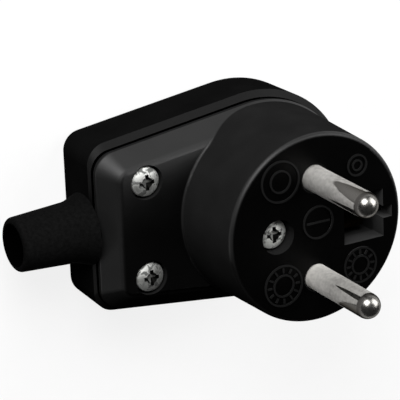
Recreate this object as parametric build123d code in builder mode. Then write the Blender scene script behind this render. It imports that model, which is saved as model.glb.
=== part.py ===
from build123d import *

import os
from math import asin, atan, cos, degrees, radians, sin, tan

# Angled mains plug with two round pins and a female earth contact, in millimetres.
# +Z runs along the pins and out of the pin face, +X from the cord end to the round end,
# +Y along the line of the two pins. The origin is on the flat back of the rear cover,
# on the axis midway between the pins.

# Pins and earth pin of the socket, and the cord
pin_diameter = 4.8
pin_length = 19.0
pin_spacing = 19.0
earth_pin_diameter = 4.8
earth_offset = 10.0
cord_diameter = 7.6

# Front housing
front_height = 5.1
boss_height = 16.6
end_margin = 0.23
side_taper = 7.3
corner_radius = 4.0
rim_height = 1.15
bevel_inset = 3.05
bevel_corner = 2.2
bevel_top_radius = 1.6
bevel_foot_radius = 0.35
boss_draft = 1.55
boss_root_radius = 0.5
face_edge_radius = 0.9
front_wall = 2.8
front_roof = 2.6
inner_corner = 1.2
boss_wall = 2.2
face_thickness = 3.7
pin_hole_chamfer = 0.35

# Joint between the two shells
gap_height = 0.5
gap_depth = 0.9
lip_height = 1.5
lip_thickness = 1.05
lip_clearance = 0.15
lip_end_margin = 6.0

# Rear cover
ledge_width = 1.3
end_ledge = 0.25
ledge_drop = 0.9
rear_corner = 4.1
rear_draft = 2.0
rear_edge_radius = 2.0
rear_floor = 2.0

# Pan head screws with a cross recess
screw_diameter = 3.0
head_diameter = 5.6
head_rim = 1.4
head_dome = 0.9
head_edge_radius = 0.25
recess_width = 3.0
recess_arm = 0.75
recess_core = 2.3
recess_depth = 1.4
tip_chamfer = 0.4
hole_clearance = 0.2
thread_clearance = 0.05
tip_overrun = 1.2
tip_room = 0.8

# Screws that hold the shells together, and their inserts
cover_screw_spacing = 18.4
cover_screw_seat = 2.0
face_screw_x = -8.0
face_screw_seat = 3.6
head_clearance = 0.45
column_wall = 1.4
insert_thickness = 0.8
insert_length = 5.7
insert_wall = 1.0

# Pins behind the face
pin_root_taper = 0.3
pin_clearance = 0.1
collar_lip = 1.3
collar_room = 2.2
collar_thickness = 2.0
shank_diameter = 6.0
shank_length = 7.0
spigot_diameter = 4.0
rivet_lip = 0.6
rivet_height = 0.8

# Terminals
terminal_pitch = 6.2
terminal_width = 5.6
terminal_thickness = 2.0
terminal_margin = 3.0
terminal_corner = 0.8
wall_clearance = 0.3
terminal_screw_diameter = 3.0
terminal_head_diameter = 5.4
terminal_head_height = 2.0
terminal_screw_length = 7.0
terminal_slot_width = 0.8
terminal_slot_depth = 0.9
washer_thickness = 1.0

# Earth slot and earth contact
slot_length = 8.4
slot_width = 9.2
tab_length = 1.85
tab_width = 2.3
shaft_room = 0.6
shaft_wall = 1.2
shaft_depth = 11.5
strip_thickness = 0.8
contact_width = 6.0
contact_squeeze = 0.3
contact_base_play = 0.2
contact_mouth_play = 1.0
contact_recess = 5.2
mouth_height = 3.0
ear_length = 4.0
ear_overlap = 0.8
tail_width = 5.8
tail_gap = 0.95

# Hold-down posts of the rear cover
pin_post_diameter = 5.6
earth_post_diameter = 4.4

# Cord sleeve
sleeve_drop = 2.6
sleeve_length = 15.0
cord_clearance = 0.2
sleeve_base_wall = 1.7
sleeve_tip_wall = 1.025
sleeve_end_radius = 0.8
sleeve_collar_lip = 1.05
sleeve_collar_gap = 0.4
sleeve_flare_length = 2.8
sleeve_flare_radius = 4.0
sleeve_neck_wall = 0.6
sleeve_flange_lip = 1.675
sleeve_flange_thickness = 2.1
sleeve_clearance = 0.15
flange_gap = 0.35
flange_floor_gap = 0.525

# Cord clamp
clamp_width = 6.0
clamp_margin = 1.9
clamp_gap = 1.4
clamp_post_diameter = 5.6
clamp_post_drop = 3.5
clamp_end_thickness = 2.2
clamp_web = 1.6
clamp_channel_clearance = 0.3
clamp_end_margin = 3.0
clamp_cheek = 0.8
clamp_screw_grip = 5.8
clamp_rib_width = 2.0

# Raised ring marks on the pin face
mark_height = 0.25
mark_line = 0.35
mark_room = 0.9
large_ring_radius = 4.0
large_core_radius = 2.2
small_ring_radius = 2.1
small_core_radius = 1.1
small_ring_x = 8.8
small_ring_y = 10.2
dial_radius = 3.5
dial_core_radius = 1.9
dial_x = 9.0
dial_y = -9.1
tick_length = 0.9
tick_count = 12
bar_ring_radius = 3.2
bar_ring_x = 0.3
bar_ring_y = 1.1
bar_room = 0.45

# Levels that follow from the heights
sleeve_bore_radius = cord_diameter / 2 + cord_clearance
sleeve_base_radius = sleeve_bore_radius + sleeve_base_wall
sleeve_tip_radius = sleeve_bore_radius + sleeve_tip_wall
sleeve_neck_radius = sleeve_bore_radius + sleeve_neck_wall
sleeve_collar_radius = sleeve_base_radius + sleeve_collar_lip
flange_radius = sleeve_base_radius + sleeve_flange_lip
sleeve_level = rear_floor + flange_floor_gap + flange_radius
parting_level = sleeve_level + sleeve_drop
rim_level = parting_level + gap_height
bevel_level = rim_level + rim_height
front_level = parting_level + front_height
face_level = front_level + boss_height
roof_level = front_level - front_roof
floor_level = face_level - face_thickness
cover_seat_level = front_level - cover_screw_seat
face_seat_level = face_level - face_screw_seat
insert_level = parting_level - insert_length
tip_level = insert_level - tip_overrun
bar_level = floor_level - collar_thickness - shank_length
bar_back_level = bar_level - terminal_thickness
rivet_level = bar_back_level - rivet_height
shaft_level = floor_level - shaft_depth
strip_back_level = shaft_level - strip_thickness
ledge_level = parting_level - ledge_drop
clamp_seat_level = parting_level - clamp_post_drop
clamp_head_level = clamp_seat_level - clamp_end_thickness
clamp_tip_level = clamp_seat_level + clamp_screw_grip

# Other sizes that follow
taper = radians(side_taper)
pin_radius = pin_diameter / 2
pin_root_radius = pin_radius + pin_root_taper
pin_hole_radius = pin_radius + pin_clearance
pin_mouth_radius = pin_hole_radius + pin_hole_chamfer
pin_root_angle = degrees(atan(pin_root_taper / face_thickness))
pin_y = pin_spacing / 2
collar_radius = pin_root_radius + collar_lip
rivet_radius = spigot_diameter / 2 + rivet_lip
head_radius = head_diameter / 2
head_height = head_rim + head_dome
counterbore_radius = head_radius + head_clearance
plain_hole_radius = screw_diameter / 2 + hole_clearance
thread_hole_radius = screw_diameter / 2 + thread_clearance
insert_radius = screw_diameter / 2 + insert_thickness
insert_column_radius = insert_radius + insert_wall
front_column_radius = counterbore_radius + column_wall
cavity_radius = pin_y + collar_radius + collar_room
face_radius = cavity_radius + boss_wall
boss_length = face_level - rim_level
boss_base_radius = face_radius + boss_length * tan(radians(boss_draft))
end_radius = boss_base_radius + end_margin
rear_inset = front_wall - lip_thickness - lip_clearance
sleeve_hole_radius = sleeve_neck_radius + sleeve_clearance
channel_radius = sleeve_bore_radius + clamp_channel_clearance
bridge_half = channel_radius + clamp_cheek
clamp_screw_y = bridge_half + head_radius + hole_clearance
cover_screw_y = cover_screw_spacing / 2
clamp_x = -cavity_radius - clamp_margin
cover_screw_x = clamp_x - clamp_width / 2 - clamp_gap - insert_column_radius
flange_x = cover_screw_x - insert_column_radius - flange_gap
cord_wall_x = flange_x - sleeve_flange_thickness
body_reach = front_wall - cord_wall_x
collar_x = -body_reach - end_ledge - sleeve_collar_gap
flare_x = collar_x - sleeve_flare_length
earth_terminal_x = face_screw_x + front_column_radius + tail_gap + terminal_width / 2
cover_screw_places = [(cover_screw_x, cover_screw_y), (cover_screw_x, -cover_screw_y)]
clamp_places = [(clamp_x, clamp_screw_y), (clamp_x, -clamp_screw_y)]
pin_places = [(0, pin_y), (0, -pin_y)]
insert_places = cover_screw_places + [(face_screw_x, 0)]

# Ring marks: centre x, centre y, outer radius and core radius of each
large_ring_x = -pin_radius - mark_room - large_ring_radius
plain_marks = [
    (large_ring_x, pin_y + mark_room, large_ring_radius, large_core_radius),
    (small_ring_x, small_ring_y, small_ring_radius, small_core_radius),
]
tick_marks = [
    (large_ring_x, -pin_y, large_ring_radius, large_core_radius),
    (dial_x, dial_y, dial_radius, dial_core_radius),
]


def body_outline(level, radius, reach, corner):
    """Round end about the origin, tapering sides and a flat cord end with round corners."""
    half_end = (radius - reach * sin(taper)) / cos(taper)
    touch_x = -radius * sin(taper)
    touch_y = radius * cos(taper)
    with BuildSketch(Plane.XY.offset(level)) as outline:
        with BuildLine():
            CenterArc((0, 0), radius, -90 - side_taper, 180 + 2 * side_taper)
            Line((touch_x, touch_y), (-reach, half_end))
            Line((-reach, half_end), (-reach, -half_end))
            Line((-reach, -half_end), (touch_x, -touch_y))
        make_face()
        fillet(outline.vertices().group_by(Axis.X)[0], corner)
    return outline.sketch


def inset_outline(level, inset, corner):
    """Outline of the front housing, moved in all round."""
    return body_outline(level, end_radius - inset, body_reach - inset, corner)


def pan_screw(length):
    """Pan head screw that points down, with the seat of its head at the origin."""
    dome_radius = (head_radius ** 2 + head_dome ** 2) / (2 * head_dome)
    half_turn = asin(head_radius / dome_radius) / 2
    dome_middle = (dome_radius * sin(half_turn), head_height - dome_radius * (1 - cos(half_turn)))
    with BuildPart() as screw:
        with BuildSketch(Plane.XZ):
            with BuildLine():
                Line((0, 0), (head_radius, 0))
                Line((head_radius, 0), (head_radius, head_rim))
                ThreePointArc((head_radius, head_rim), dome_middle, (0, head_height))
                Line((0, head_height), (0, 0))
            make_face()
        revolve(axis=Axis.Z)
        fillet(screw.edges().filter_by(lambda edge: edge.is_closed).group_by(Axis.Z)[-1], head_edge_radius)
        Cylinder(screw_diameter / 2, length, align=(Align.CENTER, Align.CENTER, Align.MAX))
        chamfer(screw.edges().sort_by(Axis.Z)[0], tip_chamfer)
        with BuildSketch(Plane.XY.offset(head_height)):
            Rectangle(recess_width, recess_arm)
            Rectangle(recess_arm, recess_width)
        extrude(amount=-recess_depth, mode=Mode.SUBTRACT)
        with Locations((0, 0, head_height)):
            Cone(recess_arm / 2, recess_core / 2, recess_depth, align=(Align.CENTER, Align.CENTER, Align.MAX),
                 mode=Mode.SUBTRACT)
    return screw.part


def contact_pin(side):
    """Turned pin at y = side: round tip, tapered root in the face, collar behind it and riveted spigot."""
    profile_plane = Plane(origin=(0, side, 0), x_dir=(1, 0, 0), z_dir=(0, -1, 0))
    pin_tip_level = face_level + pin_length
    with BuildPart() as pin:
        with BuildSketch(profile_plane):
            with BuildLine():
                CenterArc((0, pin_tip_level - pin_radius), pin_radius, 0, 90)
                Polyline(
                    (pin_radius, pin_tip_level - pin_radius),
                    (pin_radius, face_level),
                    (pin_root_radius, floor_level),
                    (collar_radius, floor_level),
                    (collar_radius, floor_level - collar_thickness),
                    (shank_diameter / 2, floor_level - collar_thickness),
                    (shank_diameter / 2, bar_level),
                    (spigot_diameter / 2, bar_level),
                    (spigot_diameter / 2, bar_back_level),
                    (rivet_radius, bar_back_level),
                    (rivet_radius, rivet_level),
                    (0, rivet_level),
                    (0, pin_tip_level),
                )
            make_face()
        revolve(axis=Axis((0, side, 0), (0, 0, 1)))
    return pin


def terminal_bar(side):
    """Brass bar riveted to a pin, with a threaded hole for its terminal screw."""
    with BuildPart() as bar:
        with BuildSketch(Plane.XY.offset(bar_back_level)) as plate:
            with Locations((-terminal_pitch / 2, side)):
                Rectangle(terminal_pitch + 2 * terminal_margin, terminal_width)
            fillet(plate.vertices(), terminal_corner)
            Circle(cavity_radius - wall_clearance, mode=Mode.INTERSECT)
            with Locations((0, side)):
                Circle(spigot_diameter / 2 + thread_clearance, mode=Mode.SUBTRACT)
            with Locations((-terminal_pitch, side)):
                Circle(terminal_screw_diameter / 2 + thread_clearance, mode=Mode.SUBTRACT)
        extrude(amount=terminal_thickness)
    return bar


# Front housing: bevelled shell with the round pin boss on it, open at the back
with BuildPart() as front_housing:
    extrude(inset_outline(rim_level, 0, corner_radius), amount=rim_height)
    bevel_foot = inset_outline(bevel_level, 0, corner_radius)
    bevel_top = inset_outline(front_level, bevel_inset, bevel_corner)
    loft([bevel_foot, bevel_top], ruled=True)
    edge_rows = front_housing.edges().group_by(Axis.Z)
    fillet(edge_rows[2], bevel_foot_radius)
    fillet(front_housing.edges().group_by(Axis.Z)[-1], bevel_top_radius)
    with Locations((0, 0, rim_level)):
        Cone(boss_base_radius, face_radius, boss_length, align=(Align.CENTER, Align.CENTER, Align.MIN))
    fillet(front_housing.edges().group_by(Axis.Z)[-1], face_edge_radius)
    boss_side = front_housing.faces().filter_by(GeomType.CONE).sort_by(SortBy.AREA)[-1]
    fillet(boss_side.edges().filter_by_position(Axis.Z, bevel_level, front_level), boss_root_radius)

    # Stepped rim under the gap, and the lip that enters the rear cover
    extrude(inset_outline(parting_level, gap_depth, corner_radius), amount=gap_height)
    with BuildSketch(Plane.XY.offset(parting_level - lip_height)):
        add(inset_outline(0, rear_inset + lip_clearance, inner_corner))
        with Locations((lip_end_margin - body_reach, 0)):
            Rectangle(4 * body_reach, 4 * end_radius, align=(Align.MIN, Align.CENTER), mode=Mode.INTERSECT)
        with Locations(*cover_screw_places):
            Circle(insert_column_radius + lip_clearance, mode=Mode.SUBTRACT)
    extrude(amount=lip_height)

    # Hollow of the shell and of the boss
    hollow_outline = inset_outline(parting_level - lip_height, front_wall, inner_corner)
    extrude(hollow_outline, amount=roof_level - parting_level + lip_height, mode=Mode.SUBTRACT)
    with BuildSketch(Plane.XY.offset(parting_level)):
        Circle(cavity_radius)
    extrude(amount=floor_level - parting_level, mode=Mode.SUBTRACT)

    # Columns for the three screws of the shells
    with BuildSketch(Plane.XY.offset(parting_level)):
        with Locations((face_screw_x, 0)):
            Circle(front_column_radius)
    extrude(amount=floor_level - parting_level)
    with BuildSketch(Plane.XY.offset(parting_level)):
        with Locations(*cover_screw_places):
            Circle(insert_column_radius)
    extrude(amount=roof_level - parting_level)

    # Posts and rib under the cord clamp
    with BuildSketch(Plane.XY.offset(clamp_seat_level)):
        with Locations(*clamp_places):
            Circle(clamp_post_diameter / 2)
    extrude(amount=roof_level - clamp_seat_level)
    rib_level = sleeve_level + sleeve_bore_radius
    with BuildSketch(Plane.XY.offset(rib_level)):
        with Locations((clamp_x, 0)):
            Rectangle(clamp_rib_width, 2 * clamp_screw_y)
    extrude(amount=roof_level - rib_level)

    # Shaft behind the earth slot, which carries the earth contact
    with BuildSketch(Plane.XY.offset(shaft_level)):
        with Locations((earth_offset, 0)):
            Rectangle(slot_length + 2 * (shaft_room + shaft_wall), slot_width + 2 * (shaft_room + shaft_wall))
            Rectangle(slot_length + 2 * shaft_room, slot_width + 2 * shaft_room, mode=Mode.SUBTRACT)
        Circle(cavity_radius + boss_wall / 2, mode=Mode.INTERSECT)
    extrude(amount=floor_level - shaft_level)

    # Earth slot with its side notch, through the face
    with BuildSketch(Plane.XY.offset(face_level)):
        with Locations((earth_offset, 0)):
            Rectangle(slot_length, slot_width)
        with Locations((earth_offset + slot_length / 2, 0)):
            Rectangle(2 * tab_length, tab_width)
    extrude(amount=-face_thickness, mode=Mode.SUBTRACT)

    # Tapered pin holes, each with a small chamfer at the face
    with BuildSketch(Plane.XY.offset(face_level)):
        with Locations(*pin_places):
            Circle(pin_hole_radius)
    extrude(amount=-face_thickness, taper=-pin_root_angle, mode=Mode.SUBTRACT)
    with BuildSketch(Plane.XY.offset(face_level)):
        with Locations(*pin_places):
            Circle(pin_mouth_radius)
    extrude(amount=-pin_hole_chamfer, taper=45, mode=Mode.SUBTRACT)

    # Stepped holes of the three screws
    with Locations((face_screw_x, 0, face_level)):
        CounterBoreHole(plain_hole_radius, counterbore_radius, face_screw_seat, face_level - parting_level)
    with Locations(*[(x, y, front_level) for x, y in cover_screw_places]):
        CounterBoreHole(plain_hole_radius, counterbore_radius, cover_screw_seat, front_level - parting_level)

    # Threaded holes in the clamp posts
    with BuildSketch(Plane.XY.offset(clamp_seat_level)):
        with Locations(*clamp_places):
            Circle(thread_hole_radius)
    extrude(amount=clamp_screw_grip + tip_room / 2, mode=Mode.SUBTRACT)

    # Round passage of the cord sleeve
    with BuildSketch(Plane.YZ.offset(cord_wall_x)):
        with Locations((0, sleeve_level)):
            Circle(sleeve_hole_radius)
    extrude(amount=-2 * front_wall, mode=Mode.SUBTRACT)

    # Raised ring marks on the face
    with BuildSketch(Plane.XY.offset(face_level)):
        for x, y, radius, core in plain_marks + tick_marks:
            with Locations((x, y)):
                Circle(radius)
                Circle(radius - mark_line, mode=Mode.SUBTRACT)
                Circle(core)
                Circle(core - mark_line, mode=Mode.SUBTRACT)
        for x, y, radius, core in tick_marks:
            with Locations((x, y)):
                with PolarLocations((radius + core - mark_line) / 2, tick_count):
                    Rectangle(tick_length, mark_line)
        with Locations((bar_ring_x, bar_ring_y)):
            Circle(bar_ring_radius)
            Circle(bar_ring_radius - mark_line, mode=Mode.SUBTRACT)
            Rectangle(2 * (bar_ring_radius - mark_line - bar_room), mark_line)
    extrude(amount=mark_height)

# Rear cover: deep shell, wider than the front housing, with a sloping ledge up to the gap
with BuildPart() as rear_cover:
    ledge_outline = body_outline(ledge_level, end_radius + ledge_width, body_reach + end_ledge, rear_corner)
    extrude(ledge_outline, amount=-ledge_level, taper=rear_draft)
    fillet(rear_cover.edges().group_by(Axis.Z)[0], rear_edge_radius)
    loft([ledge_outline, inset_outline(parting_level, 0, corner_radius)], ruled=True)
    cavity_outline = body_outline(rear_floor, end_radius - rear_inset, body_reach - front_wall, inner_corner)
    extrude(cavity_outline, amount=parting_level - rear_floor, mode=Mode.SUBTRACT)

    # Columns of the three inserts
    with BuildSketch(Plane.XY.offset(rear_floor)):
        with Locations(*insert_places):
            Circle(insert_column_radius)
    extrude(amount=parting_level - rear_floor)
    with BuildSketch(Plane.XY.offset(parting_level)):
        with Locations(*insert_places):
            Circle(insert_radius + thread_clearance)
    extrude(amount=-insert_length, mode=Mode.SUBTRACT)
    with BuildSketch(Plane.XY.offset(insert_level)):
        with Locations(*insert_places):
            Circle(plain_hole_radius)
    extrude(amount=tip_level - tip_room - insert_level, mode=Mode.SUBTRACT)

    # Posts that hold the pins and the earth contact down
    with BuildSketch(Plane.XY.offset(rear_floor)):
        with Locations(*pin_places):
            Circle(pin_post_diameter / 2)
    extrude(amount=rivet_level - rear_floor)
    with BuildSketch(Plane.XY.offset(rear_floor)):
        with Locations((earth_offset, 0)):
            Circle(earth_post_diameter / 2)
    extrude(amount=strip_back_level - rear_floor)

    # Round passage of the cord sleeve
    with BuildSketch(Plane.YZ.offset(cord_wall_x)):
        with Locations((0, sleeve_level)):
            Circle(sleeve_hole_radius)
    extrude(amount=-2 * front_wall, mode=Mode.SUBTRACT)

# Cord sleeve: tapered rubber tube that flares to a collar outside the body, with a neck through the wall
# and an inner flange that is flat where it meets the roof and the floor
with BuildPart() as cord_sleeve:
    tip_x = -body_reach - sleeve_length
    with BuildSketch(Plane(origin=(0, 0, sleeve_level), x_dir=(1, 0, 0), z_dir=(0, -1, 0))) as section:
        with BuildLine():
            Polyline(
                (tip_x, sleeve_bore_radius),
                (tip_x, sleeve_tip_radius),
                (flare_x, sleeve_base_radius),
                (collar_x, sleeve_collar_radius),
                (collar_x, sleeve_neck_radius),
                (cord_wall_x, sleeve_neck_radius),
                (cord_wall_x, flange_radius),
                (flange_x, flange_radius),
                (flange_x, sleeve_bore_radius),
                close=True,
            )
        make_face()
        fillet(section.vertices().group_by(Axis.X)[0].sort_by(Axis.Y)[-1], sleeve_end_radius)
        fillet(section.vertices().sort_by_distance((flare_x, sleeve_base_radius))[0], sleeve_flare_radius)
    revolve(axis=Axis((0, 0, sleeve_level), (1, 0, 0)))
    flange_top = roof_level - sleeve_clearance
    flange_bottom = rear_floor + sleeve_clearance
    with BuildSketch(Plane.YZ.offset(cord_wall_x)):
        with Locations((0, flange_top)):
            Rectangle(3 * flange_radius, flange_radius, align=(Align.CENTER, Align.MIN))
        with Locations((0, flange_bottom)):
            Rectangle(3 * flange_radius, flange_radius, align=(Align.CENTER, Align.MAX))
    extrude(amount=sleeve_flange_thickness, mode=Mode.SUBTRACT)

# Pins and their terminal bars
line_pin = contact_pin(pin_y)
neutral_pin = contact_pin(-pin_y)
line_terminal = terminal_bar(pin_y)
neutral_terminal = terminal_bar(-pin_y)

# Earth contact: strip folded into two spring arms, with side ears on the shaft and a tail for its screw
with BuildPart() as earth_contact:
    arm_top = face_level - contact_recess
    strip_middle = strip_back_level + strip_thickness / 2
    grip_level = arm_top - mouth_height
    base_y = (earth_pin_diameter + contact_base_play + strip_thickness) / 2
    grip_y = (earth_pin_diameter - contact_squeeze + strip_thickness) / 2
    mouth_y = (earth_pin_diameter + contact_mouth_play + strip_thickness) / 2
    with BuildSketch(Plane.YZ.offset(earth_offset - contact_width / 2)):
        with BuildLine():
            Polyline(
                (-mouth_y, arm_top),
                (-grip_y, grip_level),
                (-base_y, strip_middle),
                (base_y, strip_middle),
                (grip_y, grip_level),
                (mouth_y, arm_top),
            )
        trace(line_width=strip_thickness)
    extrude(amount=contact_width)
    tail_end = earth_terminal_x - terminal_margin
    ear_span = slot_width + 2 * shaft_room + 2 * ear_overlap
    with BuildSketch(Plane.XY.offset(strip_back_level)):
        with Locations((tail_end, 0)):
            Rectangle(earth_offset - tail_end, tail_width, align=(Align.MIN, Align.CENTER))
        with Locations((earth_offset, 0)):
            Rectangle(ear_length, ear_span)
        with Locations((earth_terminal_x, 0)):
            Circle(terminal_screw_diameter / 2 + thread_clearance, mode=Mode.SUBTRACT)
    extrude(amount=strip_thickness)

# Terminal screws and washers for line, neutral and earth: x, y and the level of the plate they clamp
terminal_places = [
    (-terminal_pitch, pin_y, bar_back_level),
    (-terminal_pitch, -pin_y, bar_back_level),
    (earth_terminal_x, 0, strip_back_level),
]

with BuildPart() as terminal_washers:
    for x, y, level in terminal_places:
        with BuildSketch(Plane.XY.offset(level)):
            with Locations((x, y)):
                Rectangle(terminal_width, terminal_width)
                Circle(terminal_screw_diameter / 2 + hole_clearance, mode=Mode.SUBTRACT)
            Circle(cavity_radius - wall_clearance, mode=Mode.INTERSECT)
        extrude(amount=-washer_thickness)

with BuildPart() as terminal_screws:
    for x, y, level in terminal_places:
        head_level = level - washer_thickness
        with BuildSketch(Plane.XY.offset(head_level)):
            with Locations((x, y)):
                Circle(terminal_head_diameter / 2)
        extrude(amount=-terminal_head_height)
        with BuildSketch(Plane.XY.offset(head_level)):
            with Locations((x, y)):
                Circle(terminal_screw_diameter / 2)
        extrude(amount=terminal_screw_length)
        with BuildSketch(Plane.XY.offset(head_level - terminal_head_height)):
            with Locations((x, y)):
                Rectangle(2 * terminal_head_diameter, terminal_slot_width)
                Circle(terminal_head_diameter / 2, mode=Mode.INTERSECT)
        extrude(amount=terminal_slot_depth, mode=Mode.SUBTRACT)

# Screws and inserts of the shells
cover_screw = pan_screw(cover_seat_level - tip_level)
with BuildPart() as cover_screws:
    with Locations(*[(x, y, cover_seat_level) for x, y in cover_screw_places]):
        add(cover_screw)

long_screw = pan_screw(face_seat_level - tip_level)
with BuildPart() as face_screw:
    with Locations((face_screw_x, 0, face_seat_level)):
        add(long_screw)

with BuildPart() as cover_inserts:
    with BuildSketch(Plane.XY.offset(insert_level)):
        with Locations(*insert_places):
            Circle(insert_radius)
            Circle(thread_hole_radius, mode=Mode.SUBTRACT)
    extrude(amount=insert_length)

# Cord clamp: bridge across the cord, with a round channel and thinner ends for its screws
with BuildPart() as cord_clamp:
    channel_bottom = sleeve_level - channel_radius
    web_level = channel_bottom - clamp_web
    end_half = clamp_screw_y + clamp_end_margin
    with BuildSketch(Plane.YZ.offset(clamp_x - clamp_width / 2)):
        with BuildLine():
            Polyline(
                (-end_half, clamp_seat_level),
                (-end_half, clamp_head_level),
                (-bridge_half, clamp_head_level),
                (-bridge_half, web_level),
                (bridge_half, web_level),
                (bridge_half, clamp_head_level),
                (end_half, clamp_head_level),
                (end_half, clamp_seat_level),
                close=True,
            )
        make_face()
        with Locations((0, sleeve_level)):
            Circle(channel_radius, mode=Mode.SUBTRACT)
    extrude(amount=clamp_width)
    with BuildSketch(Plane.XY.offset(clamp_seat_level)):
        with Locations(*clamp_places):
            Circle(plain_hole_radius)
    extrude(amount=-clamp_end_thickness, mode=Mode.SUBTRACT)

clamp_screw = pan_screw(clamp_tip_level - clamp_head_level)
with BuildPart() as clamp_screws:
    with Locations(*[Location((x, y, clamp_head_level), (180, 0, 0)) for x, y in clamp_places]):
        add(clamp_screw)

pieces = {
    "front_housing": front_housing,
    "rear_cover": rear_cover,
    "cord_sleeve": cord_sleeve,
    "line_pin": line_pin,
    "neutral_pin": neutral_pin,
    "line_terminal": line_terminal,
    "neutral_terminal": neutral_terminal,
    "earth_contact": earth_contact,
    "terminal_washers": terminal_washers,
    "terminal_screws": terminal_screws,
    "cover_screws": cover_screws,
    "face_screw": face_screw,
    "cover_inserts": cover_inserts,
    "cord_clamp": cord_clamp,
    "clamp_screws": clamp_screws,
}

os.makedirs("parts", exist_ok=True)
for piece_name, piece in pieces.items():
    piece.part.label = piece_name
    export_step(piece.part, f"parts/{piece_name}.step")
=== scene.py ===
import math

import bpy
from mathutils import Matrix, Vector


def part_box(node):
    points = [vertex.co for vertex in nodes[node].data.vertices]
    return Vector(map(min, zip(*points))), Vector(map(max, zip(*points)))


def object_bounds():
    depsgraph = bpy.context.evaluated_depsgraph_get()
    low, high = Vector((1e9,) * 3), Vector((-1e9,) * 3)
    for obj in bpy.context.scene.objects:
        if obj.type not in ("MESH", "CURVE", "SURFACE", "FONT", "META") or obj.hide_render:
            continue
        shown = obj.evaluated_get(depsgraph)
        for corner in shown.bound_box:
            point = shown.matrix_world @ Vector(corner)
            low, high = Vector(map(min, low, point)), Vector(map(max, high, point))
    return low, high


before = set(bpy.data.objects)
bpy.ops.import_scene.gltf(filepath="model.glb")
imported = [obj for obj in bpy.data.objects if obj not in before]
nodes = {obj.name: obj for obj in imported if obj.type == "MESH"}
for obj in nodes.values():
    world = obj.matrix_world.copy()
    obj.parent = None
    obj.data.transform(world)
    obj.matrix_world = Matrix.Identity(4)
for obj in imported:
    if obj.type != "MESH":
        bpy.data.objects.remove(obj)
cad_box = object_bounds()

MM = 0.001

# Sockets of a colour Mix node, by place: its factor, its two colours and its result
FACTOR, COLOR_A, COLOR_B, MIXED = 0, 6, 7, 2

# The values of a noise texture lie mostly between these two
NOISE_LOW, NOISE_HIGH = 0.3, 0.7

# Places on the plug, read from the frame
mark_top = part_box("front_housing")[1].z
pin_low, pin_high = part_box("line_pin")
pin_tip = pin_high.z
pin_x = (pin_low.x + pin_high.x) / 2
screw_low, screw_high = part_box("cover_screws")
head_radius = (screw_high.x - screw_low.x) / 2
cover_screw_x = (screw_high.x + screw_low.x) / 2
cover_screw_y = screw_high.y - head_radius
face_low, face_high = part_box("face_screw")
face_screw_x = (face_high.x + face_low.x) / 2

# Sizes and levels of the plug that the boxes of its pieces don't give. The earth slot lies within
# slot_reach of its own middle, and above boss_level the front housing is only the round boss.
pin_length = 19 * MM
pin_face = pin_tip - pin_length
earth_offset = 10 * MM
earth_x = pin_x + earth_offset
slot_reach = 7.5 * MM
mark_skin = 0.1 * MM
boss_level = 25 * MM
groove_level = 12.9 * MM
groove_reach = 0.44 * MM
sleeve_level = 9.9 * MM
sleeve_bore_radius = 4.0 * MM


def linear(hex_color):
    """An sRGB hex colour as linear RGBA."""
    parts = [int(hex_color[i:i + 2], 16) / 255 for i in (1, 3, 5)]
    return [p / 12.92 if p <= 0.04045 else ((p + 0.055) / 1.055) ** 2.4 for p in parts] + [1.0]


def add_node(tree, kind, settings=None, links=None):
    """Adds a node with its settings, input values or colour stops, and links from other nodes."""
    node = tree.nodes.new(kind)
    for key, value in (settings or {}).items():
        if key == "stops":
            elements = node.color_ramp.elements
            while len(elements) < len(value):
                elements.new(0.5)
            for element, (position, color) in zip(elements, value):
                element.position = position
                element.color = linear(color)
        elif isinstance(key, int) or key in node.inputs:
            node.inputs[key].default_value = value
        else:
            setattr(node, key, value)
    for key, source in (links or {}).items():
        tree.links.new(source, node.inputs[key])
    return node


def new_material(name):
    """An empty node material: the material, its tree, its surface shader and its object coordinates."""
    material = bpy.data.materials.new(name)
    material.use_nodes = True
    tree = material.node_tree
    tree.nodes.clear()
    shader = add_node(tree, "ShaderNodeBsdfPrincipled")
    add_node(tree, "ShaderNodeOutputMaterial", links={"Surface": shader.outputs["BSDF"]})
    coords = add_node(tree, "ShaderNodeTexCoord")
    return material, tree, shader, coords


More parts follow.
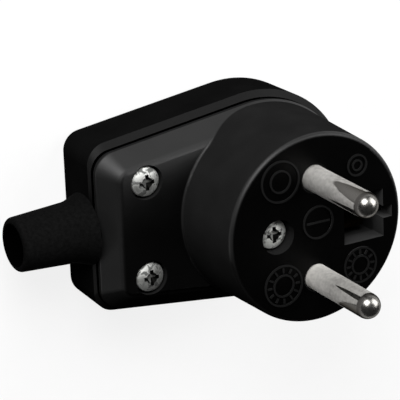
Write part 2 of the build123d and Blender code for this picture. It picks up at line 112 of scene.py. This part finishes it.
def moulded_thermoset(name, wall_colors, bevel_sheen, face_sheen, front):
    """Moulded black thermoset: matt walls, with soft gleams on the bevels and the tops."""
    material, tree, shader, coords = new_material(name)
    bevel_color = "#141414"
    face_color = "#030303"
    # The groove colour is painted shade in the gap between the shells
    groove_shade_color = "#010101"
    bevel_rough = 0.5
    face_rough = 0.34
    rough_change = 0.03
    flow_size = 6 * MM
    # The real grain is finer than a pixel, so it is drawn coarser to show at all
    grain_size = 0.5 * MM
    grain_depth = 0.004 * MM
    facing = add_node(tree, "ShaderNodeSeparateXYZ", links={"Vector": coords.outputs["Normal"]})
    spot = add_node(tree, "ShaderNodeSeparateXYZ", links={"Vector": coords.outputs["Object"]})
    flow = add_node(tree, "ShaderNodeTexNoise", {"Scale": 1 / flow_size, "Detail": 3.0},
                    {"Vector": coords.outputs["Object"]})
    grain = add_node(tree, "ShaderNodeTexNoise", {"Scale": 1 / grain_size, "Detail": 2.0},
                     {"Vector": coords.outputs["Object"]})

    # Where the surface slopes upward, lies flat or doesn't face -Y, by its normal
    slope_start, slope_full = 0.15, 0.5
    flat_start, flat_full = 0.86, 0.995
    gloss_start, gloss_full = -0.15, -0.01
    slope = add_node(tree, "ShaderNodeMapRange", {"From Min": slope_start, "From Max": slope_full},
                     {"Value": facing.outputs["Z"]})
    flat = add_node(tree, "ShaderNodeMapRange", {"From Min": flat_start, "From Max": flat_full},
                    {"Value": facing.outputs["Z"]})
    glossy_side = add_node(tree, "ShaderNodeMapRange", {"From Min": gloss_start, "From Max": gloss_full},
                           {"Value": facing.outputs["Y"]})

    # Where it lies in the groove between the shells, by its height
    groove = add_node(tree, "ShaderNodeMath", {"operation": "COMPARE", 1: groove_level, 2: groove_reach},
                      {0: spot.outputs["Z"]})
    outside_groove = add_node(tree, "ShaderNodeMath", {"operation": "SUBTRACT", 0: 1.0},
                              {1: groove.outputs["Value"]})

    # Dull walls, black faces, and painted shade in the groove between the shells
    walls = add_node(tree, "ShaderNodeValToRGB",
                     {"stops": [(NOISE_LOW, wall_colors[0]), (NOISE_HIGH, wall_colors[1])]},
                     {"Fac": flow.outputs["Fac"]})
    color = add_node(tree, "ShaderNodeMix", {"data_type": "RGBA", COLOR_B: linear(bevel_color)},
                     {FACTOR: slope.outputs["Result"], COLOR_A: walls.outputs["Color"]})
    color = add_node(tree, "ShaderNodeMix", {"data_type": "RGBA", COLOR_B: linear(face_color)},
                     {FACTOR: flat.outputs["Result"], COLOR_A: color.outputs[MIXED]})
    color = add_node(tree, "ShaderNodeMix", {"data_type": "RGBA", COLOR_B: linear(groove_shade_color)},
                     {FACTOR: groove.outputs["Value"], COLOR_A: color.outputs[MIXED]})

    # Gloss grows from the walls to the bevels and the faces, and the groove has none
    sheen = add_node(tree, "ShaderNodeMapRange", {"To Min": 0.0, "To Max": bevel_sheen},
                     {"Value": slope.outputs["Result"]})
    sheen = add_node(tree, "ShaderNodeMapRange", {"To Max": face_sheen},
                     {"Value": flat.outputs["Result"], "To Min": sheen.outputs["Result"]})
    sheen = add_node(tree, "ShaderNodeMath", {"operation": "MULTIPLY"},
                     {0: sheen.outputs["Result"], 1: outside_groove.outputs["Value"]})
    # The bevel on the -Y side is dull, and stays as dark as the wall below it
    sheen = add_node(tree, "ShaderNodeMath", {"operation": "MULTIPLY"},
                     {0: sheen.outputs["Value"], 1: glossy_side.outputs["Result"]})
    rough = add_node(tree, "ShaderNodeMapRange", {"To Min": bevel_rough, "To Max": face_rough},
                     {"Value": flat.outputs["Result"]})
    patch = add_node(tree, "ShaderNodeMapRange",
                     {"From Min": NOISE_LOW, "From Max": NOISE_HIGH,
                      "To Min": -rough_change, "To Max": rough_change},
                     {"Value": flow.outputs["Fac"]})
    rough = add_node(tree, "ShaderNodeMath", {"operation": "ADD"},
                     {0: rough.outputs["Result"], 1: patch.outputs["Result"]})
    bump = add_node(tree, "ShaderNodeBump", {"Strength": 1.0, "Distance": grain_depth},
                    {"Height": grain.outputs["Fac"]})

    if front:
        # Painted light: the walls of the earth slot are drawn paler, most of all near its mouth, where
        # light falls in
        slot_lit_depth = 8 * MM
        # The paler colour is painted light on the slot walls
        slot_light_color = "#3e3e3e"
        plan = add_node(tree, "ShaderNodeVectorMath", {"operation": "MULTIPLY", 1: (1.0, 1.0, 0.0)},
                        {0: coords.outputs["Object"]})
        reach = add_node(tree, "ShaderNodeVectorMath", {"operation": "DISTANCE", 1: (earth_x, 0.0, 0.0)},
                         {0: plan.outputs["Vector"]})
        near = add_node(tree, "ShaderNodeMath", {"operation": "LESS_THAN", 1: slot_reach},
                        {0: reach.outputs["Value"]})
        wall = add_node(tree, "ShaderNodeMath", {"operation": "SUBTRACT", 0: 1.0},
                        {1: slope.outputs["Result"]})
        slot_wall = add_node(tree, "ShaderNodeMath", {"operation": "MULTIPLY"},
                             {0: near.outputs["Value"], 1: wall.outputs["Value"]})
        mouth = add_node(tree, "ShaderNodeMapRange",
                         {"From Min": pin_face - slot_lit_depth, "From Max": pin_face},
                         {"Value": spot.outputs["Z"]})
        slot_light = add_node(tree, "ShaderNodeMath", {"operation": "MULTIPLY"},
                          {0: slot_wall.outputs["Value"], 1: mouth.outputs["Result"]})
        color = add_node(tree, "ShaderNodeMix", {"data_type": "RGBA", COLOR_B: linear(slot_light_color)},
                         {FACTOR: slot_light.outputs["Value"], COLOR_A: color.outputs[MIXED]})
        # The pin face is dull, and its raised marks are drawn a little paler, a painted highlight of their
        # lit edges
        pin_face_share = 0.15
        # The mark colour is a painted highlight
        mark_highlight_color = "#1a1a1a"
        high = add_node(tree, "ShaderNodeMath", {"operation": "GREATER_THAN", 1: boss_level},
                        {0: spot.outputs["Z"]})
        pin_side = add_node(tree, "ShaderNodeMath", {"operation": "MULTIPLY"},
                            {0: flat.outputs["Result"], 1: high.outputs["Value"]})
        share = add_node(tree, "ShaderNodeMapRange", {"To Min": 1.0, "To Max": pin_face_share},
                         {"Value": pin_side.outputs["Value"]})
        sheen = add_node(tree, "ShaderNodeMath", {"operation": "MULTIPLY"},
                         {0: sheen.outputs["Value"], 1: share.outputs["Result"]})
        raised = add_node(tree, "ShaderNodeMath", {"operation": "GREATER_THAN", 1: mark_top - mark_skin},
                          {0: spot.outputs["Z"]})
        color = add_node(tree, "ShaderNodeMix", {"data_type": "RGBA", COLOR_B: linear(mark_highlight_color)},
                         {FACTOR: raised.outputs["Value"], COLOR_A: color.outputs[MIXED]})
        # The wide flat beside the boss bows a little across the plug, as such mouldings do when they cool
        bow_radius = 36 * MM
        low = add_node(tree, "ShaderNodeMath", {"operation": "LESS_THAN", 1: boss_level},
                       {0: spot.outputs["Z"]})
        body_side = add_node(tree, "ShaderNodeMath", {"operation": "MULTIPLY"},
                             {0: flat.outputs["Result"], 1: low.outputs["Value"]})
        square = add_node(tree, "ShaderNodeMath", {"operation": "POWER", 1: 2.0}, {0: spot.outputs["Y"]})
        drop = add_node(tree, "ShaderNodeMath", {"operation": "MULTIPLY", 1: -0.5 / bow_radius},
                        {0: square.outputs["Value"]})
        bow = add_node(tree, "ShaderNodeBump", {"Distance": 1.0},
                       {"Height": drop.outputs["Value"], "Strength": body_side.outputs["Value"]})
        tree.links.new(bow.outputs["Normal"], bump.inputs["Normal"])

    tree.links.new(color.outputs[MIXED], shader.inputs["Base Color"])
    tree.links.new(sheen.outputs["Value"], shader.inputs["Specular IOR Level"])
    tree.links.new(rough.outputs["Value"], shader.inputs["Roughness"])
    tree.links.new(bump.outputs["Normal"], shader.inputs["Normal"])
    return material


def nickel_plate(name, root_rough, tip_rough, tongues):
    """Nickel-plated brass: a satin grey, paler at the root, with darker glossy tongues, and a tip with
    painted light on top and painted shade on its shoulder.

    A tongue is its azimuth in degrees, its start above the pin face, and how fast it widens. It covers the
    normals whose cosine to that azimuth is over 1 less the widening for each millimetre past the start.
    """
    material, tree, shader, coords = new_material(name)
    dark_satin, pale_satin = "#84827f", "#f4f2ee"
    tongue_color, tongue_rough = "#6c6a67", 0.3
    # The tip's colours paint light on its top and shade on its shoulder
    shoulder_shade_color, dome_lit_color, dome_rough = "#4c4a48", "#a8a6a2", 0.29
    shoulder_slope, dome_slope = 0.35, 0.75
    # The edge tint is painted shade for the plate seen edge on
    edge_shade_color = "#585858"
    rough_change = 0.05
    blotch_size = 0.7 * MM
    blotch_share = 0.6
    streak_width = 0.9 * MM
    streak_stretch = 0.08
    pale_length = 8 * MM
    root_paleness, far_paleness = 0.7, 0.07
    dome_level = pin_tip - 2.3 * MM
    dome_blend = 0.2 * MM
    spot = add_node(tree, "ShaderNodeSeparateXYZ", links={"Vector": coords.outputs["Object"]})
    drawn = add_node(tree, "ShaderNodeMapping", {"Scale": (1.0, 1.0, streak_stretch)},
                     {"Vector": coords.outputs["Object"]})
    streak = add_node(tree, "ShaderNodeTexNoise", {"Scale": 1 / streak_width, "Detail": 2.0},
                      {"Vector": drawn.outputs["Vector"]})
    blotch = add_node(tree, "ShaderNodeTexNoise", {"Scale": 1 / blotch_size, "Detail": 4.0},
                      {"Vector": coords.outputs["Object"]})
    dome = add_node(tree, "ShaderNodeMapRange",
                    {"From Min": dome_level - dome_blend, "From Max": dome_level + dome_blend},
                    {"Value": spot.outputs["Z"]})

    # The tongues have ragged edges, which follow the streaks along the pin
    polish = dome.outputs["Result"]
    for azimuth, start, widening in tongues:
        towards = (math.cos(math.radians(azimuth)), math.sin(math.radians(azimuth)), 0.0)
        raggedness = 4 * widening
        edge = 1 + widening * (pin_face + start) / MM + raggedness / 2
        facing = add_node(tree, "ShaderNodeVectorMath", {"operation": "DOT_PRODUCT", 1: towards},
                          {0: coords.outputs["Normal"]})
        spread = add_node(tree, "ShaderNodeMath", {"operation": "MULTIPLY_ADD", 1: widening / MM},
                          {0: spot.outputs["Z"], 2: facing.outputs["Value"]})
        ragged = add_node(tree, "ShaderNodeMath", {"operation": "MULTIPLY_ADD", 1: raggedness},
                          {0: streak.outputs["Fac"], 2: spread.outputs["Value"]})
        tongue = add_node(tree, "ShaderNodeMapRange", {"From Min": edge, "From Max": edge + widening},
                          {"Value": ragged.outputs["Value"]})
        polish = add_node(tree, "ShaderNodeMath", {"operation": "MAXIMUM"},
                          {0: polish, 1: tongue.outputs["Result"]}).outputs["Value"]

    fade = add_node(tree, "ShaderNodeMapRange",
                    {"From Min": pin_face, "From Max": pin_face + pale_length,
                     "To Min": root_paleness, "To Max": far_paleness},
                    {"Value": spot.outputs["Z"]})
    mottle = add_node(tree, "ShaderNodeMath", {"operation": "MULTIPLY_ADD", 1: blotch_share},
                      {0: blotch.outputs["Fac"], 2: fade.outputs["Result"]})
    satin = add_node(tree, "ShaderNodeValToRGB", {"stops": [(0.0, dark_satin), (1.0, pale_satin)]},
                     {"Fac": mottle.outputs["Value"]})
    color = add_node(tree, "ShaderNodeMix", {"data_type": "RGBA", COLOR_B: linear(tongue_color)},
                     {FACTOR: polish, COLOR_A: satin.outputs["Color"]})
    # Painted light and shade: the tip is drawn pale where it faces up and dark on its shoulder
    upward = add_node(tree, "ShaderNodeSeparateXYZ",
                      links={"Vector": coords.outputs["Normal"]}).outputs["Z"]
    tip = add_node(tree, "ShaderNodeValToRGB",
                   {"stops": [(shoulder_slope, shoulder_shade_color), (dome_slope, dome_lit_color)]},
                   {"Fac": upward})
    color = add_node(tree, "ShaderNodeMix", {"data_type": "RGBA"},
                     {FACTOR: dome.outputs["Result"], COLOR_A: color.outputs[MIXED],
                      COLOR_B: tip.outputs["Color"]})
    rough = add_node(tree, "ShaderNodeMapRange",
                     {"From Min": pin_face, "From Max": pin_tip, "To Min": root_rough, "To Max": tip_rough},
                     {"Value": spot.outputs["Z"]})
    rough = add_node(tree, "ShaderNodeMapRange", {"To Max": tongue_rough},
                     {"Value": polish, "To Min": rough.outputs["Result"]})
    rough = add_node(tree, "ShaderNodeMapRange", {"To Max": dome_rough},
                     {"Value": dome.outputs["Result"], "To Min": rough.outputs["Result"]})
    patch = add_node(tree, "ShaderNodeMapRange",
                     {"From Min": NOISE_LOW, "From Max": NOISE_HIGH,
                      "To Min": -rough_change, "To Max": rough_change},
                     {"Value": blotch.outputs["Fac"]})
    rough = add_node(tree, "ShaderNodeMath", {"operation": "ADD"},
                     {0: rough.outputs["Result"], 1: patch.outputs["Result"]})
    shader.inputs["Metallic"].default_value = 1.0
    # Painted shade: a dark edge tint dulls the plate where it is seen edge on
    shader.inputs["Specular Tint"].default_value = linear(edge_shade_color)
    tree.links.new(color.outputs[MIXED], shader.inputs["Base Color"])
    tree.links.new(rough.outputs["Value"], shader.inputs["Roughness"])
    return material


def zinc_plate(name, axis_x, axis_y, dull_rough, bright_rough):
    """Zinc-plated steel: pale satin heads with duller blotches, and painted shade in their recesses."""
    material, tree, shader, coords = new_material(name)
    dull_plate, plain_plate, bright_plate = "#8f908e", "#e6e7e4", "#fafbf7"
    # The recess colour is painted shade
    recess_shade_color = "#1c1c1b"
    blotch_size = 1.1 * MM
    recess_radius = 1.9 * MM
    recess_blend = 0.3 * MM
    steep_start, steep_full = 0.93, 0.7
    dull_level, bright_level = 0.35, 0.65
    upward = add_node(tree, "ShaderNodeSeparateXYZ",
                      links={"Vector": coords.outputs["Normal"]}).outputs["Z"]
    spot = add_node(tree, "ShaderNodeSeparateXYZ", links={"Vector": coords.outputs["Object"]})

    # Painted shade lies on the steep walls near the axis of a head, and both sides of the plug are alike
    across = add_node(tree, "ShaderNodeMath", {"operation": "ABSOLUTE"}, {0: spot.outputs["Y"]})
    plan = add_node(tree, "ShaderNodeCombineXYZ",
                    links={"X": spot.outputs["X"], "Y": across.outputs["Value"]})
    reach = add_node(tree, "ShaderNodeVectorMath", {"operation": "DISTANCE", 1: (axis_x, axis_y, 0.0)},
                     {0: plan.outputs["Vector"]})
    inner = add_node(tree, "ShaderNodeMapRange",
                     {"From Min": recess_radius, "From Max": recess_radius - recess_blend},
                     {"Value": reach.outputs["Value"]})
    steep = add_node(tree, "ShaderNodeMapRange", {"From Min": steep_start, "From Max": steep_full},
                     {"Value": upward})
    recess_shade = add_node(tree, "ShaderNodeMath", {"operation": "MULTIPLY"},
                     {0: inner.outputs["Result"], 1: steep.outputs["Result"]})

    blotch = add_node(tree, "ShaderNodeTexNoise",
                      {"Scale": 1 / blotch_size, "Detail": 3.0, "Distortion": 0.6},
                      {"Vector": coords.outputs["Object"]})
    plate = add_node(tree, "ShaderNodeValToRGB",
                     {"stops": [(0.4, dull_plate), (0.47, plain_plate), (bright_level, bright_plate)]},
                     {"Fac": blotch.outputs["Fac"]})
    color = add_node(tree, "ShaderNodeMix", {"data_type": "RGBA", COLOR_B: linear(recess_shade_color)},
                     {FACTOR: recess_shade.outputs["Value"], COLOR_A: plate.outputs["Color"]})
    rough = add_node(tree, "ShaderNodeMapRange",
                     {"From Min": dull_level, "From Max": bright_level,
                      "To Min": dull_rough, "To Max": bright_rough},
                     {"Value": blotch.outputs["Fac"]})
    shader.inputs["Metallic"].default_value = 1.0
    tree.links.new(color.outputs[MIXED], shader.inputs["Base Color"])
    tree.links.new(rough.outputs["Result"], shader.inputs["Roughness"])
    return material


def brass_painted_shade():
    """Rolled brass left bare inside the plug: painted dark brown as shade inside the plug, with faint
    lighter rolling lines.
    """
    material, tree, shader, coords = new_material("brass_painted_shade")
    # The dark brown is painted shade inside the plug
    brass_shade_color, dark_brass_rough, dark_brass_level = "#1e1811", 0.6, 0.35
    line_color, line_rough, line_level = "#30271b", 0.45, 0.65
    line_width = 0.4 * MM
    line_stretch = 0.1
    drawn = add_node(tree, "ShaderNodeMapping", {"Scale": (1.0, 1.0, line_stretch)},
                     {"Vector": coords.outputs["Object"]})
    lines = add_node(tree, "ShaderNodeTexNoise", {"Scale": 1 / line_width, "Detail": 2.0},
                     {"Vector": drawn.outputs["Vector"]})
    color = add_node(tree, "ShaderNodeValToRGB",
                     {"stops": [(dark_brass_level, brass_shade_color), (line_level, line_color)]},
                     {"Fac": lines.outputs["Fac"]})
    rough = add_node(tree, "ShaderNodeMapRange",
                     {"From Min": dark_brass_level, "From Max": line_level,
                      "To Min": dark_brass_rough, "To Max": line_rough},
                     {"Value": lines.outputs["Fac"]})
    shader.inputs["Metallic"].default_value = 1.0
    tree.links.new(color.outputs["Color"], shader.inputs["Base Color"])
    tree.links.new(rough.outputs["Result"], shader.inputs["Roughness"])
    return material


def soft_rubber():
    """Moulded rubber: a matt black with a fine grain, drawn coarser than it is so that it shows."""
    material, tree, shader, coords = new_material("moulded_rubber_matt")
    pit_color, pit_rough = "#0d0d0d", 0.68
    skin_color, skin_rough = "#141414", 0.8
    # The bore colour is painted shade
    bore_shade_color = "#020202"
    grain_size = 0.6 * MM
    grain_depth = 0.012 * MM
    bore_margin = 0.05 * MM
    faint_gloss = 0.002
    grain = add_node(tree, "ShaderNodeTexNoise", {"Scale": 1 / grain_size, "Detail": 3.0},
                     {"Vector": coords.outputs["Object"]})
    color = add_node(tree, "ShaderNodeValToRGB",
                     {"stops": [(NOISE_LOW, pit_color), (NOISE_HIGH, skin_color)]},
                     {"Fac": grain.outputs["Fac"]})
    # Painted shade: the bore is drawn darker than the outside
    from_axis = add_node(tree, "ShaderNodeVectorMath",
                         {"operation": "MULTIPLY_ADD", 1: (0.0, 1.0, 1.0), 2: (0.0, 0.0, -sleeve_level)},
                         {0: coords.outputs["Object"]})
    radius = add_node(tree, "ShaderNodeVectorMath", {"operation": "LENGTH"},
                      {0: from_axis.outputs["Vector"]})
    bore = add_node(tree, "ShaderNodeMath",
                    {"operation": "LESS_THAN", 1: sleeve_bore_radius + bore_margin},
                    {0: radius.outputs["Value"]})
    color = add_node(tree, "ShaderNodeMix", {"data_type": "RGBA", COLOR_B: linear(bore_shade_color)},
                     {FACTOR: bore.outputs["Value"], COLOR_A: color.outputs["Color"]})
    rough = add_node(tree, "ShaderNodeMapRange",
                     {"From Min": NOISE_LOW, "From Max": NOISE_HIGH,
                      "To Min": pit_rough, "To Max": skin_rough},
                     {"Value": grain.outputs["Fac"]})
    bump = add_node(tree, "ShaderNodeBump", {"Strength": 1.0, "Distance": grain_depth},
                    {"Height": grain.outputs["Fac"]})
    shader.inputs["Specular IOR Level"].default_value = faint_gloss
    tree.links.new(color.outputs[MIXED], shader.inputs["Base Color"])
    tree.links.new(rough.outputs["Result"], shader.inputs["Roughness"])
    tree.links.new(bump.outputs["Normal"], shader.inputs["Normal"])
    return material


def assign(material, *names):
    """Gives each named CAD node this one material."""
    for name in names:
        mesh = nodes[name].data
        mesh.materials.clear()
        mesh.materials.append(material)


front_thermoset = moulded_thermoset("moulded_thermoset_front", wall_colors=("#1f1f1f", "#242424"),
                                    bevel_sheen=0.42, face_sheen=0.48, front=True)
rear_thermoset = moulded_thermoset("moulded_thermoset_rear", wall_colors=("#0f0f0f", "#131313"),
                                   bevel_sheen=0.1, face_sheen=0.16, front=False)
line_nickel = nickel_plate("nickel_plate_line", root_rough=0.7, tip_rough=0.62,
                           tongues=[(122, 7.8 * MM, 0.027), (205, 8 * MM, 0.004)])
neutral_nickel = nickel_plate("nickel_plate_neutral", root_rough=0.9, tip_rough=0.75,
                              tongues=[(134, 8 * MM, 0.002), (205, 9.4 * MM, 0.035)])
cover_zinc = zinc_plate("zinc_plate_cover", cover_screw_x, cover_screw_y, dull_rough=0.78, bright_rough=0.5)
face_zinc = zinc_plate("zinc_plate_face", face_screw_x, 0.0, dull_rough=0.95, bright_rough=0.75)

assign(front_thermoset, "front_housing", "cord_clamp")
assign(rear_thermoset, "rear_cover")
assign(soft_rubber(), "cord_sleeve")
assign(line_nickel, "line_pin")
assign(neutral_nickel, "neutral_pin")
assign(cover_zinc, "cover_screws", "terminal_screws", "terminal_washers", "clamp_screws")
assign(face_zinc, "face_screw")
assign(brass_painted_shade(), "line_terminal", "neutral_terminal", "earth_contact", "cover_inserts")

# Floor: a wide sheet of pale studio paper under the plug, white to the eye and in reflections
floor_size = 6.0
floor_glow = 0.85
paper_rough = 0.9
fibre_size = 3 * MM
bpy.ops.mesh.primitive_plane_add(size=floor_size, location=(0, 0, cad_box[0][2]))
floor = bpy.context.object
floor.name = "floor"
paper, tree, shader, coords = new_material("pale_studio_paper")
fibre = add_node(tree, "ShaderNodeTexNoise", {"Scale": 1 / fibre_size, "Detail": 2.0},
                 {"Vector": coords.outputs["Object"]})
color = add_node(tree, "ShaderNodeValToRGB",
                 {"stops": [(NOISE_LOW, "#6c6c6c"), (NOISE_HIGH, "#707070")]},
                 {"Fac": fibre.outputs["Fac"]})
rays = add_node(tree, "ShaderNodeLightPath")
seen = add_node(tree, "ShaderNodeMath", {"operation": "ADD"},
                {0: rays.outputs["Is Camera Ray"], 1: rays.outputs["Is Glossy Ray"]})
seen = add_node(tree, "ShaderNodeMath", {"operation": "ADD", "use_clamp": True},
                {0: seen.outputs["Value"], 1: rays.outputs["Is Transmission Ray"]})
glow = add_node(tree, "ShaderNodeMath", {"operation": "MULTIPLY", 1: floor_glow},
                {0: seen.outputs["Value"]})
shader.inputs["Roughness"].default_value = paper_rough
shader.inputs["Emission Color"].default_value = linear("#ffffff")
tree.links.new(color.outputs["Color"], shader.inputs["Base Color"])
tree.links.new(glow.outputs["Value"], shader.inputs["Emission Strength"])
floor.data.materials.append(paper)

# Studio light: a dim room with two soft boxes
world = bpy.data.worlds.new("studio")
bpy.context.scene.world = world
world.use_nodes = True
tree = world.node_tree
tree.nodes.clear()
direction = add_node(tree, "ShaderNodeTexCoord").outputs["Generated"]
height = add_node(tree, "ShaderNodeSeparateXYZ", links={"Vector": direction}).outputs["Z"]
sky = add_node(tree, "ShaderNodeValToRGB",
               {"stops": [(0.0, "#343434"), (0.3, "#303030"), (0.8, "#282828")]}, {"Fac": height})
background = add_node(tree, "ShaderNodeBackground", links={"Color": sky.outputs["Color"]})
add_node(tree, "ShaderNodeOutputWorld", links={"Surface": background.outputs["Background"]})

plug_middle = Vector((-5 * MM, 0, 15 * MM))


def soft_box(name, azimuth, elevation, distance, width, height, radiance):
    """A soft box that faces the plug. Azimuth counts from +X to +Y, and radiance 1 would show as white."""
    lamp = bpy.data.lights.new(name, "AREA")
    lamp.shape = "RECTANGLE"
    lamp.size = width
    lamp.size_y = height
    lamp.energy = radiance * math.pi * width * height
    box = bpy.data.objects.new(name, lamp)
    bpy.context.scene.collection.objects.link(box)
    rise = math.radians(elevation)
    towards = Matrix.Rotation(math.radians(azimuth), 3, "Z") @ Vector((math.cos(rise), 0, math.sin(rise)))
    box.location = plug_middle + towards * distance
    box.rotation_euler = towards.to_track_quat("Z", "Y").to_euler()
    box.visible_camera = False


soft_box("left_box", azimuth=119, elevation=34, distance=0.55, width=0.36, height=0.34, radiance=8.7)
soft_box("right_box", azimuth=30, elevation=36, distance=0.55, width=0.48, height=0.38, radiance=3.4)

# Camera at the photograph's viewing angle: from looking straight down it rolls, tilts and turns about Z
camera_place = Vector((-264.8, 195.2, 475.7)) * MM
roll = Matrix.Rotation(math.radians(119.764), 4, "Z")
tilt = Matrix.Rotation(math.radians(34.528), 4, "X")
turn = Matrix.Rotation(math.radians(-127.446), 4, "Z")
image_width = 400
focal_pixels = 3058.04
lens = bpy.data.cameras.new("camera")
lens.sensor_width = 36.0
lens.lens = focal_pixels / image_width * lens.sensor_width
lens.clip_start = 0.01
camera = bpy.data.objects.new("camera", lens)
bpy.context.scene.collection.objects.link(camera)
camera.matrix_world = Matrix.Translation(camera_place) @ turn @ tilt @ roll
bpy.context.scene.camera = camera
bpy.context.scene.view_settings.view_transform = "Standard"
